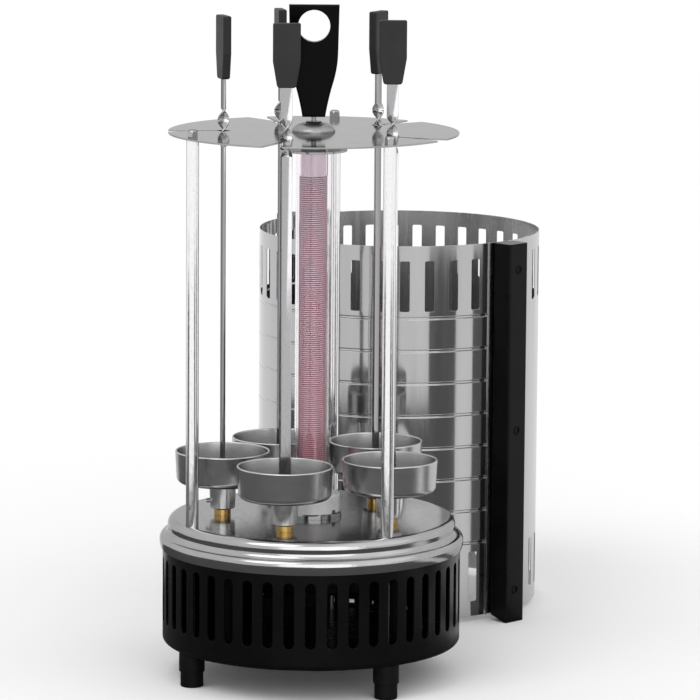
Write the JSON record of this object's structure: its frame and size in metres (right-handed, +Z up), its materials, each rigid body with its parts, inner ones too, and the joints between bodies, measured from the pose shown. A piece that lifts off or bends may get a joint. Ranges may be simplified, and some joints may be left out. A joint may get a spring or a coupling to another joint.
{
  "type": "electric skewer grill",
  "caption": "Vertical electric grill: turning skewer stations round a tubular heater between a slotted drum base and a notched top plate, with its lift-off slotted casing beside it.",
  "frame": {"origin": "centre of the overall plan outline of grill and casing, at the table", "axes": "+Z up, +X to the right as the picture shows it, +Y away from the viewer towards the casing"},
  "size_m": [0.2846, 0.4856, 0.4867],
  "materials": {
    "black_enamel": "high gloss",
    "brushed_aluminium": "spun and brushed",
    "satin_aluminium": "satin",
    "polished_aluminium": "polished",
    "chrome_tube": "mirror bright",
    "polished_steel": "mirror polished",
    "plated_steel": "zinc plated",
    "brass": "turned",
    "white_ceramic": "glazed ceramic",
    "pink_ceramic": "fired ceramic",
    "quartz": "clear",
    "resistance_wire": "oxidised",
    "gloss_black_plastic": "gloss",
    "satin_black_plastic": "satin",
    "black_plastic": "satin",
    "white_plastic": "satin",
    "black_rubber": "matt"
  },
  "bodies": {
    "grill_frame": {"drum_housing": "black_enamel", "base_plate": "black_enamel", "inner_liner": "black_enamel", "feet": "black_rubber", "foot_nuts": "plated_steel", "base_cover": "brushed_aluminium", "posts": "chrome_tube", "tie_rods": "plated_steel", "cap_nuts": "chrome_tube", "top_plate": "polished_steel", "dome_boss": "polished_steel", "boss_washer": "black_plastic", "carry_handle": "gloss_black_plastic", "handle_stud": "plated_steel", "heater_seat_ring": "polished_aluminium", "heater_ceramic_base": "white_ceramic", "quartz_tube": "quartz", "heater_core": "pink_ceramic", "heater_spiral": "resistance_wire", "heater_top_disc": "polished_steel", "heater_top_insulator": "white_ceramic", "spindle_bushings": "brass", "gear_deck": "black_enamel", "deck_pillars": "black_enamel", "drive_motor": "black_enamel", "motor_screws": "plated_steel", "terminal_block": "black_plastic", "cord_gland": "black_plastic"},
    "sun": {"sun_gear": "white_plastic"},
    "pinion": {"motor_pinion": "white_plastic"},
    "station_1": {"gear_spindle_1": "plated_steel", "cup_hub_1": "satin_aluminium", "drip_cup_1": "satin_aluminium"},
    "skewer_1": {"skewer_blade_1": "chrome_tube", "skewer_grip_1": "satin_black_plastic"},
    "station_2": {"gear_spindle_2": "plated_steel", "cup_hub_2": "satin_aluminium", "drip_cup_2": "satin_aluminium"},
    "skewer_2": {"skewer_blade_2": "chrome_tube", "skewer_grip_2": "satin_black_plastic"},
    "station_3": {"gear_spindle_3": "plated_steel", "cup_hub_3": "satin_aluminium", "drip_cup_3": "satin_aluminium"},
    "skewer_3": {"skewer_blade_3": "chrome_tube", "skewer_grip_3": "satin_black_plastic"},
    "station_4": {"gear_spindle_4": "plated_steel", "cup_hub_4": "satin_aluminium", "drip_cup_4": "satin_aluminium"},
    "skewer_4": {"skewer_blade_4": "chrome_tube", "skewer_grip_4": "satin_black_plastic"},
    "station_5": {"gear_spindle_5": "plated_steel", "cup_hub_5": "satin_aluminium", "drip_cup_5": "satin_aluminium"},
    "skewer_5": {"skewer_blade_5": "chrome_tube", "skewer_grip_5": "satin_black_plastic"},
    "casing": {"casing_shell_front": "polished_steel", "casing_shell_back": "polished_steel", "casing_handle_right": "satin_black_plastic", "casing_handle_left": "satin_black_plastic", "casing_screws": "plated_steel"}
  },
  "joints": [
    {"name": "sun_spin", "type": "hinge", "parent": "grill_frame", "child": "sun", "pos_m": [-0.03225, -0.13275, 0.09875], "axis": [0, 0, 1], "continuous": true},
    {"name": "pinion_spin", "type": "hinge", "parent": "grill_frame", "child": "pinion", "pos_m": [-0.00934, -0.19092, 0.09875], "axis": [0, 0, 1], "continuous": true},
    {"name": "station_spin_1", "type": "hinge", "parent": "grill_frame", "child": "station_1", "pos_m": [-0.09675, -0.13275, 0.09875], "axis": [0, 0, 1], "continuous": true},
    {"name": "skewer_lift_1", "type": "slide", "parent": "station_1", "child": "skewer_1", "axis": [0, 0, 1], "range_m": [0, 0.27]},
    {"name": "station_spin_2", "type": "hinge", "parent": "grill_frame", "child": "station_2", "pos_m": [-0.05111, -0.19443, 0.09875], "axis": [0, 0, 1], "continuous": true},
    {"name": "skewer_lift_2", "type": "slide", "parent": "station_2", "child": "skewer_2", "axis": [0, 0, 1], "range_m": [0, 0.27]},
    {"name": "station_spin_3", "type": "hinge", "parent": "grill_frame", "child": "station_3", "pos_m": [0.02361, -0.165, 0.09875], "axis": [0, 0, 1], "continuous": true},
    {"name": "skewer_lift_3", "type": "slide", "parent": "station_3", "child": "skewer_3", "axis": [0, 0, 1], "range_m": [0, 0.27]},
    {"name": "station_spin_4", "type": "hinge", "parent": "grill_frame", "child": "station_4", "pos_m": [0.01415, -0.08794, 0.09875], "axis": [0, 0, 1], "continuous": true},
    {"name": "skewer_lift_4", "type": "slide", "parent": "station_4", "child": "skewer_4", "axis": [0, 0, 1], "range_m": [0, 0.27]},
    {"name": "station_spin_5", "type": "hinge", "parent": "grill_frame", "child": "station_5", "pos_m": [-0.05693, -0.07316, 0.09875], "axis": [0, 0, 1], "continuous": true},
    {"name": "skewer_lift_5", "type": "slide", "parent": "station_5", "child": "skewer_5", "axis": [0, 0, 1], "range_m": [0, 0.27]},
    {"name": "casing_lift", "type": "slide", "parent": "grill_frame", "child": "casing", "axis": [0, 0, 1], "range_m": [0, 0.5]}
  ],
  "couplings": [
    {"joint": "pinion_spin", "follows": "sun_spin", "ratio": -2.9375},
    {"joint": "station_spin_1", "follows": "sun_spin", "ratio": -2.6111},
    {"joint": "station_spin_2", "follows": "sun_spin", "ratio": -2.6111},
    {"joint": "station_spin_3", "follows": "sun_spin", "ratio": -2.6111},
    {"joint": "station_spin_4", "follows": "sun_spin", "ratio": -2.6111},
    {"joint": "station_spin_5", "follows": "sun_spin", "ratio": -2.6111}
  ]
}
